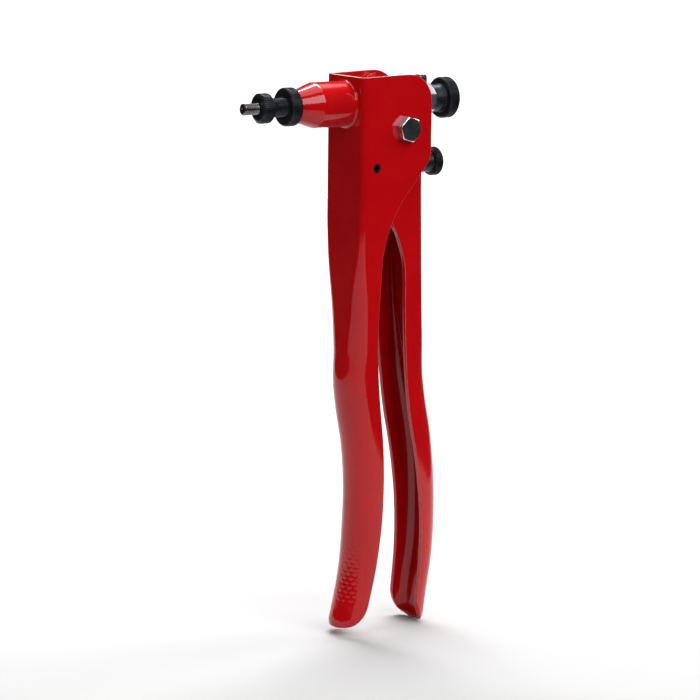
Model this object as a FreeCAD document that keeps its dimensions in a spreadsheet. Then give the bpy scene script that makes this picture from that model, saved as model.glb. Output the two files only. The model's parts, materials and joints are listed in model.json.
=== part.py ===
import FreeCAD, Part
import math
import os
import Sketcher
from FreeCAD import Rotation, Vector

# Hand riveter for threaded rivets. Millimetres. The origin is on the nose axis, in the plane of the
# nosepiece's front face; +X runs from the nose to the rear knob, +Z is up, the handles hang in -Z.

doc = FreeCAD.newDocument("hand_riveter")
sheet = doc.addObject("Spreadsheet::Sheet", "sizes")

driving = {
    # nose end
    "mandrel_radius": 3.0, "mandrel_reach": 9.3, "mandrel_chamfer": 0.5, "mandrel_shank": 2.8,
    "mandrel_relief": 9.0, "mandrel_total": 54.3,
    "head_radius": 7.75, "head_width": 6.3, "head_chamfer": 1.2, "neck_radius": 5.0,
    "nosepiece_total": 26.0, "nosepiece_bore": 3.15,
    "ring_front": 16.0, "ring_radius": 10.0, "ring_width": 5.95, "ring_chamfer": 0.8,
    "tube_front": 22.0, "tube_mouth": 7.9, "cone_length": 12.0, "tube_radius": 12.0, "tube_wall": 3.5,
    "weld_bead": 1.7, "spigot_radius": 10.0, "spigot_length": 4.1, "thread_depth": 8.5,
    "running_gap": 0.06,
    # fixed handle
    "sheet_thickness": 2.5, "web_front": 54.8, "cheek_half": 17.0, "cheek_top": 15.1,
    "cheek_rear": 99.7, "cheek_corner": 15.0,
    # moving handle
    "lever_half": 14.0, "ear_top": 13.7, "lever_web": 97.8,
    # pivot
    "pivot_place": 83.0, "pivot_drop": 13.2, "bolt_radius": 4.0, "bolt_hex": 12.0, "bolt_head": 4.5,
    "bolt_reach": 43.5, "nut_width": 5.6, "nut_collar": 2.4, "washer_width": 1.5, "washer_radius": 8.0,
    "sleeve_radius": 6.5, "bush_radius": 8.0, "bush_flange": 8.4, "bush_inner": 10.5,
    "bush_outer": 14.3,
    # stop pin and stroke adjuster
    "pin_place": 64.1, "pin_drop": 32.9, "pin_radius": 2.5, "pin_bore": 1.4, "pin_half": 16.8,
    "adjuster_drop": 33.9, "screw_tip": 70.6, "screw_radius": 3.0, "screw_length": 41.0,
    "adjuster_boss": 101.0, "adjuster_boss_radius": 5.6, "adjuster_knob_radius": 7.7,
    "adjuster_knob": 5.3, "adjuster_boss_length": 10.0, "adjuster_nut": 90.5, "adjuster_nut_radius": 6.5,
    # traction set and spindle
    "spindle_radius": 5.0, "spindle_front": 45.0, "spindle_length": 74.0,
    "return_front": 69.75, "return_face": 72.8, "thrust_face": 94.5, "thrust_width": 4.0,
    "plate_half": 13.6, "plate_top": 7.0, "plate_bottom": 7.0, "return_half": 7.0,
    "lug_top": 14.2, "lug_width": 5.0,
    "spacer_radius": 6.2, "thrust_washer": 1.0, "thrust_washer_radius": 8.2,
    "cam_radius": 9.5, "cam_front": 12.0, "cam_lean": 8.25,
    "hex_across": 15.0, "hex_front": 99.55, "hex_width": 10.8, "hex_turn": 9.5,
    "knob_radius": 11.0, "knob_boss": 7.25, "knob_boss_length": 7.1, "knob_width": 6.5,
    "knob_chamfer": 0.9, "coupling_front": 36.0, "coupling_radius": 7.6, "coupling_length": 14.0,
    "bush_front": 53.0, "retainer_front": 68.4, "retainer_radius": 7.0, "retainer_width": 1.3,
    "groove_radius": 4.3,
}
for row, (alias, value) in enumerate(driving.items(), start=1):
    sheet.set(f"A{row}", alias)
    sheet.set(f"B{row}", str(value))
    sheet.setAlias(f"B{row}", alias)
doc.recompute()


class Size:
    """A length together with the spreadsheet expression that drives it."""

    def __init__(self, value, text):
        self.value = value
        self.text = text

    def __add__(self, other):
        other = as_size(other)
        return Size(self.value + other.value, f"({self.text} + {other.text})")

    def __sub__(self, other):
        other = as_size(other)
        return Size(self.value - other.value, f"({self.text} - {other.text})")

    def __mul__(self, factor):
        return Size(self.value * factor, f"({self.text} * {factor})")

    def __neg__(self):
        return Size(-self.value, f"(0 - {self.text})")


def as_size(number):
    return number if isinstance(number, Size) else Size(float(number), str(float(number)))


class Sizes:
    def __getattr__(self, alias):
        return Size(driving[alias], f"sizes.{alias}")


d = Sizes()
zero = as_size(0)


# ---------------------------------------------------------------- helpers

def new_body(label):
    body = doc.addObject("PartDesign::Body", label)
    body.Label = label
    return body


def place(body, x=zero, y=zero, z=zero, rotation=None):
    if rotation:
        body.Placement = FreeCAD.Placement(Vector(0, 0, 0), rotation)
    for axis, size in (("x", x), ("y", y), ("z", z)):
        body.setExpression(f"Placement.Base.{axis}", size.text)


def new_sketch(body, plane, name, lift=zero):
    sketch = body.newObject("Sketcher::SketchObject", name)
    origin_plane = next(f for f in body.Origin.OriginFeatures if f.Role == plane)
    sketch.AttachmentSupport = [(origin_plane, "")]
    sketch.MapMode = "FlatFace"
    if lift is not zero:
        sketch.setExpression("AttachmentOffset.Base.z", lift.text)
    return sketch


def tie(sketch, kind, edge, end, size, name):
    """Fix one coordinate of an edge's end point, measured from the sketch origin."""
    if abs(size.value) < 1e-9:
        sketch.addConstraint(Sketcher.Constraint("PointOnObject", edge, end, -2 if kind == "DistanceX" else -1))
        return
    index = sketch.addConstraint(Sketcher.Constraint(kind, -1, 1, edge, end, size.value))
    sketch.renameConstraint(index, name)
    sketch.setExpression(f"Constraints.{name}", size.text)


def polygon(sketch, corners):
    """Closed outline with straight edges; every corner is driven by the sheet."""
    first = sketch.GeometryCount
    count = len(corners)
    points = [Vector(x.value, y.value, 0) for x, y in corners]
    for i in range(count):
        sketch.addGeometry(Part.LineSegment(points[i], points[(i + 1) % count]), False)
    for i in range(count):
        following = first + (i + 1) % count
        sketch.addConstraint(Sketcher.Constraint("Coincident", first + i, 2, following, 1))
    for i, (x, y) in enumerate(corners):
        tie(sketch, "DistanceX", first + i, 1, x, f"x{first + i}")
        tie(sketch, "DistanceY", first + i, 1, y, f"y{first + i}")


def circle(sketch, x, y, radius, name):
    edge = sketch.addGeometry(Part.Circle(Vector(x.value, y.value, 0), Vector(0, 0, 1), radius.value), False)
    tie(sketch, "DistanceX", edge, 3, x, name + "_x")
    tie(sketch, "DistanceY", edge, 3, y, name + "_y")
    index = sketch.addConstraint(Sketcher.Constraint("Radius", edge, radius.value))
    sketch.renameConstraint(index, name + "_radius")
    sketch.setExpression(f"Constraints.{name}_radius", radius.text)


def hexagon(sketch, across, turn):
    """Regular hexagon about the sketch origin, sized across its flats."""
    corner_radius = across.value / math.sqrt(3)
    corners = [Vector(corner_radius, 0, 0)]
    for i in range(1, 6):
        corners.append(Rotation(Vector(0, 0, 1), 60 * i).multVec(corners[0]))
    spin = Rotation(Vector(0, 0, 1), turn)
    corners = [spin.multVec(corner) for corner in corners]
    guide = sketch.addGeometry(Part.Circle(Vector(0, 0, 0), Vector(0, 0, 1), corner_radius), True)
    sketch.addConstraint(Sketcher.Constraint("Coincident", guide, 3, -1, 1))
    for i in range(6):
        sketch.addGeometry(Part.LineSegment(corners[i], corners[(i + 1) % 6]), False)
    for i in range(6):
        edge = guide + 1 + i
        sketch.addConstraint(Sketcher.Constraint("Coincident", edge, 2, guide + 1 + (i + 1) % 6, 1))
        sketch.addConstraint(Sketcher.Constraint("PointOnObject", edge, 1, guide))
        if i:
            sketch.addConstraint(Sketcher.Constraint("Equal", guide + 1, edge))
    index = sketch.addConstraint(Sketcher.Constraint("Radius", guide, corner_radius))
    sketch.renameConstraint(index, "corner_radius")
    sketch.setExpression("Constraints.corner_radius", f"{across.text} / sqrt(3)")


def pad(body, sketch, length, symmetric=False):
    feature = body.newObject("PartDesign::Pad", "Pad")
    feature.Profile = sketch
    feature.SideType = "Symmetric" if symmetric else "One side"
    feature.setExpression("Length", length.text)
    return feature


def cut_through(body, sketch, name):
    """Remove the sketch's area over the whole depth of the body, and confirm that it removed something."""
    doc.recompute()
    before = body.Shape.Volume
    feature = body.newObject("PartDesign::Pocket", name)
    feature.Profile = sketch
    feature.SideType = "Symmetric"
    feature.Length = 400
    doc.recompute()
    assert body.Shape.Volume < before - 1e-3, f"{name} removed nothing from {body.Label}"
    return feature


def turned(label, corners, x=zero, z=zero, y=zero, rotation=None):
    """A piece turned about its own X axis, drawn as a closed outline of (station, radius) corners."""
    body = new_body(label)
    sketch = new_sketch(body, "XZ_Plane", "Outline")
    polygon(sketch, corners)
    turn = body.newObject("PartDesign::Revolution", "Turn")
    turn.Profile = sketch
    turn.ReferenceAxis = (sketch, ["H_Axis"])
    turn.Angle = 360
    place(body, x, y, z, rotation)
    return body


def across(station, radius):
    """Corner of a turned outline."""
    return (as_size(station), as_size(radius))


sideways = Rotation(Vector(0, 0, 1), 90)      # a turned piece's axis laid along +Y


# ---------------------------------------------------------------- nose end

def mandrel():
    tip = d.mandrel_radius - d.mandrel_chamfer
    return turned("mandrel", [
        across(0, 0), across(0, tip), across(d.mandrel_chamfer, d.mandrel_radius),
        across(d.mandrel_relief, d.mandrel_radius), across(d.mandrel_relief, d.mandrel_shank),
        across(d.mandrel_total, d.mandrel_shank), across(d.mandrel_total, 0)], x=-d.mandrel_reach)


def nosepiece():
    return turned("nosepiece", [
        across(0, d.nosepiece_bore), across(0, d.head_radius - 1.8),
        across(d.head_chamfer, d.head_radius), across(d.head_width - 0.3, d.head_radius),
        across(d.head_width, d.head_radius - 0.3), across(d.head_width, d.neck_radius),
        across(d.nosepiece_total, d.neck_radius), across(d.nosepiece_total, d.nosepiece_bore)])


def lock_ring():
    bore = d.neck_radius + d.running_gap
    shoulder = d.ring_radius - d.ring_chamfer
    return turned("lock_ring", [
        across(0, bore), across(0, shoulder), across(d.ring_chamfer, d.ring_radius),
        across(d.ring_width - 0.4, d.ring_radius), across(d.ring_width, d.ring_radius - 0.4),
        across(d.ring_width, bore)], x=d.ring_front)


def nose_tube():
    bore = d.neck_radius + d.running_gap
    cavity = d.tube_radius - d.tube_wall
    base = d.web_front - d.tube_front
    end = base + d.spigot_length
    return turned("nose_tube", [
        across(0, bore), across(0, d.tube_mouth), across(d.cone_length, d.tube_radius),
        across(base - d.weld_bead, d.tube_radius), across(base, d.tube_radius + d.weld_bead),
        across(base, d.spigot_radius), across(end, d.spigot_radius), across(end, cavity),
        across(d.thread_depth, cavity), across(d.thread_depth, bore)], x=d.tube_front)


def guide_bush():
    bore = d.spindle_radius + d.running_gap
    seat = d.web_front + d.spigot_length - d.bush_front
    cavity = d.tube_radius - d.tube_wall
    return turned("guide_bush", [
        across(0, bore), across(0, cavity), across(seat, cavity), across(seat, d.spigot_radius - 0.2),
        across(seat + 2, d.spigot_radius - 0.2), across(seat + 2, bore)], x=d.bush_front)


# ---------------------------------------------------------------- spindle and traction set

def mandrel_coupling():
    joint = d.spindle_front - d.coupling_front
    return turned("mandrel_coupling", [
        across(0, d.mandrel_shank), across(0, d.coupling_radius), across(d.coupling_length, d.coupling_radius),
        across(d.coupling_length, d.spindle_radius), across(joint, d.spindle_radius),
        across(joint, d.mandrel_shank)], x=d.coupling_front)


def spindle():
    groove = d.retainer_front - d.spindle_front
    return turned("spindle", [
        across(0, 0), across(0, d.spindle_radius), across(groove, d.spindle_radius),
        across(groove, d.groove_radius), across(groove + d.retainer_width, d.groove_radius),
        across(groove + d.retainer_width, d.spindle_radius), across(d.spindle_length, d.spindle_radius),
        across(d.spindle_length, 0)], x=d.spindle_front)


def retaining_ring():
    return turned("retaining_ring", [
        across(0, d.groove_radius), across(0, d.retainer_radius),
        across(d.retainer_width, d.retainer_radius), across(d.retainer_width, d.groove_radius)],
        x=d.retainer_front)


def plate(label, front, thickness, half_width, outline):
    """Upright plate across the spindle, with a clear hole for it and rounded corners."""
    body = new_body(label)
    sketch = new_sketch(body, "YZ_Plane", "Face")
    polygon(sketch, outline)
    circle(sketch, zero, zero, d.spindle_radius + 0.1, "hole")
    slab = pad(body, sketch, thickness)
    doc.recompute()
    corners = [f"Edge{i + 1}" for i, edge in enumerate(body.Shape.Edges)
               if len(edge.Vertexes) == 2 and abs(edge.tangentAt(edge.FirstParameter).x) > 0.99
               and edge.BoundBox.YLength < 1e-6 and abs(edge.BoundBox.Center.y) > half_width.value - 0.1]
    fillet = body.newObject("PartDesign::Fillet", "Corners")
    fillet.Base = (slab, corners)
    fillet.Radius = 1.5
    place(body, x=front)
    return body


def return_plate():
    side = d.plate_half
    end = d.return_half
    return plate("return_plate", d.return_front, d.return_face - d.return_front, side,
                 [(-side, -end), (side, -end), (side, end), (-side, end)])


def thrust_plate():
    """The ears push on its front face; a lug stands up at its near side."""
    side = d.plate_half
    lug = side - d.lug_width
    return plate("thrust_plate", d.thrust_face, d.thrust_width, side,
                 [(-side, -d.plate_bottom), (side, -d.plate_bottom), (side, d.plate_top),
                  (-lug, d.plate_top), (-lug, d.lug_top), (-side, d.lug_top)])


def spacer_sleeve():
    bore = d.spindle_radius + d.running_gap
    length = d.thrust_face - d.return_face
    return turned("spacer_sleeve", [
        across(0, bore), across(0, d.spacer_radius), across(length, d.spacer_radius), across(length, bore)],
        x=d.return_face)


def thrust_washer():
    bore = d.spindle_radius + 0.1
    return turned("thrust_washer", [
        across(0, bore), across(0, d.thrust_washer_radius),
        across(d.thrust_washer, d.thrust_washer_radius), across(d.thrust_washer, bore)],
        x=d.thrust_face + d.thrust_width)


def chamfer_hex(body, start, length, across_flats, both_ends):
    """Turn off the corners of a hexagonal prism whose axis is the body's X axis."""
    corner = across_flats * 0.62
    ends = [(start, 1)] + ([(start + length, -1)] if both_ends else [])
    for i, (station, direction) in enumerate(ends):
        sketch = new_sketch(body, "XZ_Plane", f"CornerCut{i}")
        rim = across_flats * 0.475
        polygon(sketch, [(station, rim), (station, corner),
                         (station + (corner - rim) * (0.55 * direction), corner)])
        groove = body.newObject("PartDesign::Groove", f"CornerTurn{i}")
        groove.Profile = sketch
        groove.ReferenceAxis = (sketch, ["H_Axis"])
        groove.Angle = 360


def hex_nut():
    body = new_body("hex_nut")
    sketch = new_sketch(body, "YZ_Plane", "Hexagon")
    hexagon(sketch, d.hex_across, 90 + driving["hex_turn"])
    circle(sketch, zero, zero, d.spindle_radius, "thread")
    pad(body, sketch, d.hex_width)
    chamfer_hex(body, as_size(0), d.hex_width, d.hex_across, True)
    place(body, x=d.hex_front)
    return body


def knob(label, front, boss_radius, boss_length, radius, width, bore, bore_depth, z=zero):
    """Turned knob: a boss with a wider disc behind it, and a blind bore for its shaft."""
    total = boss_length + width
    return turned(label, [
        across(0, bore), across(0, boss_radius - 0.4), across(0.4, boss_radius),
        across(boss_length, boss_radius), across(boss_length, radius - d.knob_chamfer),
        across(boss_length + d.knob_chamfer, radius), across(total - d.knob_chamfer, radius),
        across(total, radius - d.knob_chamfer), across(total, 0), across(bore_depth, 0),
        across(bore_depth, bore)], x=front, z=z)


# ---------------------------------------------------------------- pivot and stop pin

def pivot_bolt():
    body = new_body("pivot_bolt")
    sketch = new_sketch(body, "YZ_Plane", "Hexagon")
    hexagon(sketch, d.bolt_hex, 76)
    pad(body, sketch, d.bolt_head)
    chamfer_hex(body, as_size(0), d.bolt_head, d.bolt_hex, False)
    shank = new_sketch(body, "XZ_Plane", "Shank")
    end = d.bolt_head + d.bolt_reach
    polygon(shank, [
        across(d.bolt_head, 0), across(d.bolt_head, d.bolt_radius), across(end - 0.8, d.bolt_radius),
        across(end, d.bolt_radius - 0.8), across(end, 0)])
    turn = body.newObject("PartDesign::Revolution", "ShankTurn")
    turn.Profile = shank
    turn.ReferenceAxis = (shank, ["H_Axis"])
    turn.Angle = 360
    place(body, d.pivot_place, -(d.cheek_half + d.bolt_head), -d.pivot_drop, sideways)
    return body


def pivot_washer():
    return turned("pivot_washer", [
        across(0, d.bolt_radius + 0.2), across(0, d.washer_radius), across(d.washer_width, d.washer_radius),
        across(d.washer_width, d.bolt_radius + 0.2)],
        d.pivot_place, -d.pivot_drop, d.cheek_half, sideways)


def pivot_nut():
    body = new_body("pivot_nut")
    sketch = new_sketch(body, "YZ_Plane", "Hexagon")
    hexagon(sketch, d.bolt_hex, 60)
    circle(sketch, zero, zero, d.bolt_radius, "thread")
    pad(body, sketch, d.nut_width)
    chamfer_hex(body, as_size(0), d.nut_width, d.bolt_hex, True)
    collar = new_sketch(body, "XZ_Plane", "Collar")
    end = d.nut_width + d.nut_collar
    polygon(collar, [
        across(d.nut_width, d.bolt_radius + 1.0), across(d.nut_width, d.bolt_hex * 0.47),
        across(end - 0.8, d.bolt_hex * 0.47), across(end, d.bolt_hex * 0.42),
        across(end, d.bolt_radius + 1.0)])
    turn = body.newObject("PartDesign::Revolution", "CollarTurn")
    turn.Profile = collar
    turn.ReferenceAxis = (collar, ["H_Axis"])
    turn.Angle = 360
    place(body, d.pivot_place, d.cheek_half + d.washer_width, -d.pivot_drop, sideways)
    return body


def nut_insert():
    return turned("nut_insert", [
        across(0, d.bolt_radius), across(0, d.bolt_radius + 1.0), across(d.nut_collar - 0.4, d.bolt_radius + 1.0),
        across(d.nut_collar - 0.4, d.bolt_radius)],
        d.pivot_place, -d.pivot_drop, d.cheek_half + d.washer_width + d.nut_width, sideways)


def pivot_sleeve():
    inside = d.cheek_half - d.sheet_thickness
    bore = d.bolt_radius + d.running_gap
    return turned("pivot_sleeve", [
        across(0, bore), across(0, d.sleeve_radius), across(inside * 2, d.sleeve_radius),
        across(inside * 2, bore)], d.pivot_place, -d.pivot_drop, -inside, sideways)


def stop_pin():
    return turned("stop_pin", [
        across(0, d.pin_bore), across(0, d.pin_radius), across(d.pin_half * 2, d.pin_radius),
        across(d.pin_half * 2, d.pin_bore)], d.pin_place, -d.pin_drop, -d.pin_half, sideways)


def pivot_bushes():
    """Two flanged bushes, one pressed into each ear of the moving handle."""
    bore = d.sleeve_radius + d.running_gap
    corners = [
        across(d.bush_inner, bore), across(d.bush_inner, d.bush_flange),
        across(d.lever_half - d.sheet_thickness, d.bush_flange),
        across(d.lever_half - d.sheet_thickness, d.bush_radius),
        across(d.bush_outer, d.bush_radius), across(d.bush_outer, bore)]
    near = turned("bush_near", corners, d.pivot_place, -d.pivot_drop, zero, sideways)
    far = doc.addObject("Part::Mirroring", "bush_far")
    far.Source = near
    far.Base = Vector(0, 0, 0)
    far.Normal = Vector(0, 1, 0)
    pair = doc.addObject("Part::Compound", "pivot_bushes")
    pair.Links = [near, far]
    pair.Label = "pivot_bushes"
    return pair


# ---------------------------------------------------------------- handles

def channel_section(body, name, level, half, bend, web, edge, wall):
    """Horizontal C section of bent sheet: the web at x = web, the open side at x = edge."""
    sketch = new_sketch(body, "XY_Plane", name, level)
    inward = 1 if edge.value > web.value else -1
    x_web = web.value
    x_edge = edge.value
    y_half = half.value
    centre_x = x_web + inward * bend.value
    centre_y = y_half - bend.value
    inner = bend.value - wall.value

    def corner(side, radius):
        angle = math.pi / 2 * side
        turn = math.pi if inward > 0 else 0
        spread = sorted([turn, angle])
        if inward > 0 and side < 0:
            spread = [math.pi, 1.5 * math.pi]
        ring = Part.Circle(Vector(centre_x, side * centre_y, 0), Vector(0, 0, 1), radius)
        return Part.ArcOfCircle(ring, spread[0], spread[1])

    def line(x1, y1, x2, y2):
        return Part.LineSegment(Vector(x1, y1, 0), Vector(x2, y2, 0))

    wall_y = y_half - wall.value
    wall_x = x_web + inward * wall.value
    edges = [
        line(x_edge, y_half, centre_x, y_half), corner(1, bend.value),
        line(x_web, centre_y, x_web, -centre_y), corner(-1, bend.value),
        line(centre_x, -y_half, x_edge, -y_half), line(x_edge, -y_half, x_edge, -wall_y),
        line(x_edge, -wall_y, centre_x, -wall_y), corner(-1, inner),
        line(wall_x, -centre_y, wall_x, centre_y), corner(1, inner),
        line(centre_x, wall_y, x_edge, wall_y), line(x_edge, wall_y, x_edge, y_half)]
    for item in edges:
        sketch.addGeometry(item, False)

    count = len(edges)
    for i in range(count):
        after = (i + 1) % count
        for end in (1, 2):
            point = sketch.getPoint(i, end)
            shared = [e for e in (1, 2) if sketch.getPoint(after, e).distanceToPoint(point) < 1e-6]
            if shared:
                sketch.addConstraint(Sketcher.Constraint("Coincident", i, end, after, shared[0]))
                break
    for index in (0, 4, 6, 10):
        sketch.addConstraint(Sketcher.Constraint("Horizontal", index))
    for index in (2, 8):
        sketch.addConstraint(Sketcher.Constraint("Vertical", index))
    tie(sketch, "DistanceX", 0, 1, edge, "open_edge")
    tie(sketch, "DistanceY", 0, 1, half, "half_width")
    tie(sketch, "DistanceX", 2, 1, web, "web_face")
    return sketch


def channel(body, top, stations, half, web, edge):
    """Straight channel from the first station up to the top, and a smooth loft through the rest.

    A station is a level, the half width and web face there as steps from half and web, and the bend radius."""
    sections = []
    for i, (level, narrowing, bend, step) in enumerate(stations):
        sections.append(channel_section(
            body, f"Section{i}", as_size(level), half - narrowing, as_size(bend), web + step, edge,
            d.sheet_thickness))
    pad(body, sections[0], top - stations[0][0])
    feature = body.newObject("PartDesign::AdditiveLoft", "Grip")
    feature.Profile = sections[0]
    feature.Sections = sections[1:]
    feature.Ruled = False


def outline_edges(stretches):
    """Edges through the given stretches: ("line", points), ("arc", start, middle, end), ("curve", points)."""
    edges = []
    for kind, points in stretches:
        places = [Vector(x, z, 0) for x, z in points]
        if kind == "line":
            edges += [Part.LineSegment(a, b) for a, b in zip(places, places[1:])]
        elif kind == "arc":
            edges.append(Part.Arc(*places))
        else:
            curve = Part.BSplineCurve()
            curve.interpolate(places)
            edges.append(curve)
    return edges


def trim(body, stretches, box):
    """Cut away everything outside a side outline drawn in the XZ plane."""
    sketch = new_sketch(body, "XZ_Plane", "SideOutline")
    for edge in outline_edges(stretches):
        sketch.addGeometry(edge, False)
    x1, x2, z1, z2 = box
    corners = [(x1, z1), (x2, z1), (x2, z2), (x1, z2), (x1, z1)]
    for edge in outline_edges([("line", corners)]):
        sketch.addGeometry(edge, False)
    return cut_through(body, sketch, "Trim")


def fixed_handle():
    """Channel of 2.5 mm sheet: deep cheeks at the top, narrowing to a half-round grip below."""
    body = new_body("fixed_handle")
    # level, narrowing of each side, bend radius, step of the web's front face from its place at the top
    stations = [(-54, 0, 4, 0), (-66, 0.2, 4.3, -0.2), (-85, 1.0, 6, -0.6), (-110, 2.5, 9.3, -0.7),
                (-132, 3.9, 11.8, -1.6), (-149, 4.5, 12.2, -2.4), (-166, 4.5, 12.2, -0.2),
                (-185, 4.5, 12.2, 3.4), (-207, 4.5, 12.2, 5.2), (-230, 4.5, 12.2, 4.7),
                (-252, 4.5, 12.2, 3.0), (-271, 4.5, 12.2, -0.6), (-290, 4.5, 12.2, -5.8)]
    channel(body, d.cheek_top + 1, stations, d.cheek_half, d.web_front, d.cheek_rear + 3)
    top = driving["cheek_top"]
    rear = driving["cheek_rear"]
    corner = driving["cheek_corner"]
    swing = corner * (1 - math.cos(math.pi / 4))
    trim(body, [
        ("line", [(40, -284.5), (40, top - 1.1), (rear - corner, top)]),
        ("arc", [(rear - corner, top), (rear - swing, top - swing), (rear, top - corner)]),
        ("line", [(rear, top - corner), (rear, -26.5)]),
        ("arc", [(rear, -26.5), (98.9, -30.1), (97.1, -33.1)]),
        ("line", [(97.1, -33.1), (84.1, -48.1)]),
        ("arc", [(84.1, -48.1), (73.2, -66.8), (69.4, -88.1)]),
        ("curve", [(69.4, -88.1), (69.2, -121), (71.9, -157), (75.2, -190), (75.1, -222), (71.6, -250),
                   (66.4, -272)]),
        ("arc", [(66.4, -272), (61.6, -280), (52, -284.5)]),
        ("line", [(52, -284.5), (40, -284.5)])], (30, 120, -310, 40))

    front = new_sketch(body, "YZ_Plane", "TubeHole")
    circle(front, zero, zero, d.spigot_radius, "tube")
    doc.recompute()
    hole = body.newObject("PartDesign::Pocket", "TubeOpening")
    hole.Profile = front
    hole.SideType = "One side"
    hole.Reversed = True
    hole.Length = 80
    side = new_sketch(body, "XZ_Plane", "CrossHoles")
    circle(side, d.pivot_place, -d.pivot_drop, d.bolt_radius + d.running_gap, "bolt")
    circle(side, d.pin_place, -d.pin_drop, d.pin_radius, "pin")
    cut_through(body, side, "CrossDrill")
    return body


def cam_centre():
    """Point of the ears that drives the thrust plate, on the nose axis with the handle at rest."""
    lean = math.radians(driving["cam_lean"])
    arm = driving["pivot_drop"] / math.cos(lean)
    return driving["pivot_place"] + arm * math.sin(lean), 0.0


def moving_handle():
    """Channel inside the fixed one: web at the rear, ears beside the spindle, half-round grip below."""
    body = new_body("moving_handle")
    # level, narrowing of each side, bend radius, step of the web's rear face from its place at the top
    stations = [(-42, 0, 4, 0), (-52, 0, 4, 0.2), (-80, 0, 4, 1.0), (-106, 0.1, 4.6, 2.2),
                (-130, 0.7, 7.5, 5.1), (-148, 1.2, 10.5, 7.7), (-164, 1.4, 12.2, 11.2),
                (-183, 1.4, 12.2, 15.0), (-205, 1.4, 12.2, 17.6), (-228, 1.4, 12.2, 18.4),
                (-250, 1.4, 12.2, 17.4), (-271, 1.4, 12.2, 14.2), (-294, 1.4, 12.2, 10.8)]
    channel(body, d.cheek_top + 1, stations, d.lever_half, d.lever_web, d.pivot_place - 16)

    cam_x, cam_z = cam_centre()
    cam = driving["cam_radius"]
    front_cam = driving["cam_front"]

    def around(radius, degrees):
        angle = math.radians(degrees)
        return (cam_x + radius * math.cos(angle), cam_z + radius * math.sin(angle))

    top = driving["ear_top"]
    trim(body, [
        ("arc", [around(front_cam, 192), around(front_cam, 172), around(front_cam, 152)]),
        ("arc", [around(front_cam, 152), (78.4, 11.4), (86.5, top)]),
        ("arc", [(86.5, top), (91.4, 11.9), (93.5, 7.4)]),
        ("line", [(93.5, 7.4), around(cam, 8)]),
        ("arc", [around(cam, 8), around(cam, -8), around(cam, -24)]),
        ("line", [around(cam, -24), (89.5, -12.5)]),
        ("arc", [(89.5, -12.5), (91.3, -20.9), (98.5, -26)]),
        ("line", [(98.5, -26), (125, -26), (125, -284.5), (111, -284.5)]),
        ("arc", [(111, -284.5), (109.4, -288.6), (106.6, -289.2)]),
        ("arc", [(106.6, -289.2), (102.6, -284), (99.7, -275)]),
        ("curve", [(99.7, -275), (101.7, -248), (101.1, -221), (97.5, -194), (92, -167), (88.5, -138),
                   (86.7, -110), (85.6, -86), (81, -71.2), (77.2, -64)]),
        ("curve", [(77.2, -64), (73.6, -54), (72.6, -42), (73.4, -26), (74.6, -14)]),
        ("line", [(74.6, -14), around(front_cam, 192)])], (60, 135, -310, 40))

    side = new_sketch(body, "XZ_Plane", "PivotHoles")
    circle(side, d.pivot_place, -d.pivot_drop, d.bush_radius, "bush")
    cut_through(body, side, "PivotDrill")
    web = new_sketch(body, "YZ_Plane", "AdjusterHole")
    circle(web, zero, -d.adjuster_drop, d.adjuster_nut_radius - 1.5, "adjuster")
    doc.recompute()
    hole = body.newObject("PartDesign::Pocket", "AdjusterOpening")
    hole.Profile = web
    hole.SideType = "One side"
    hole.Reversed = True
    hole.Length = 110
    return body


def adjuster_nut():
    bore = d.screw_radius + d.running_gap
    seat = d.lever_web - d.sheet_thickness - d.adjuster_nut
    outer = d.adjuster_nut_radius
    return turned("adjuster_nut", [
        across(0, bore), across(0, outer), across(seat, outer), across(seat, outer - 1.5),
        across(seat + d.sheet_thickness + 0.6, outer - 1.5), across(seat + d.sheet_thickness + 0.6, bore)],
        x=d.adjuster_nut, z=-d.adjuster_drop)


def stroke_screw():
    return turned("stroke_screw", [
        across(0, 0), across(0, d.screw_radius - 1), across(1, d.screw_radius),
        across(d.screw_length, d.screw_radius), across(d.screw_length, 0)],
        x=d.screw_tip, z=-d.adjuster_drop)


# ---------------------------------------------------------------- the assembly

pieces = [
    fixed_handle(), nose_tube(), guide_bush(), pivot_bolt(), pivot_washer(), pivot_nut(), nut_insert(),
    pivot_sleeve(), stop_pin(), nosepiece(), lock_ring(), moving_handle(), pivot_bushes(), adjuster_nut(),
    stroke_screw(),
    knob("stroke_knob", d.adjuster_boss, d.adjuster_boss_radius, d.adjuster_boss_length,
         d.adjuster_knob_radius, d.adjuster_knob, d.screw_radius + d.running_gap,
         d.screw_tip + d.screw_length + 0.1 - d.adjuster_boss, z=-d.adjuster_drop),
    return_plate(), spacer_sleeve(), thrust_plate(),
    thrust_washer(), spindle(), mandrel(), mandrel_coupling(), retaining_ring(), hex_nut(),
    knob("spindle_knob", d.hex_front + d.hex_width, d.knob_boss, d.knob_boss_length, d.knob_radius,
         d.knob_width, d.spindle_radius, d.spindle_front + d.spindle_length - d.hex_front - d.hex_width),
]

doc.recompute()
failed = [o.Name for o in doc.Objects if "Invalid" in o.State or "Error" in o.State]
assert not failed, f"features failed: {failed}"
os.makedirs("parts", exist_ok=True)
for piece in pieces:
    shape = piece.Shape
    assert not shape.isNull() and shape.isValid() and shape.Solids, f"{piece.Label} is not a valid solid"
    shape.exportStep(f"parts/{piece.Label}.step")
    print(f"{piece.Label:18s} {len(shape.Solids)} solid  {shape.Volume:9.1f} mm3")
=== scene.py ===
import json
import math

import bmesh
import bpy
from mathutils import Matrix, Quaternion, Vector

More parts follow.
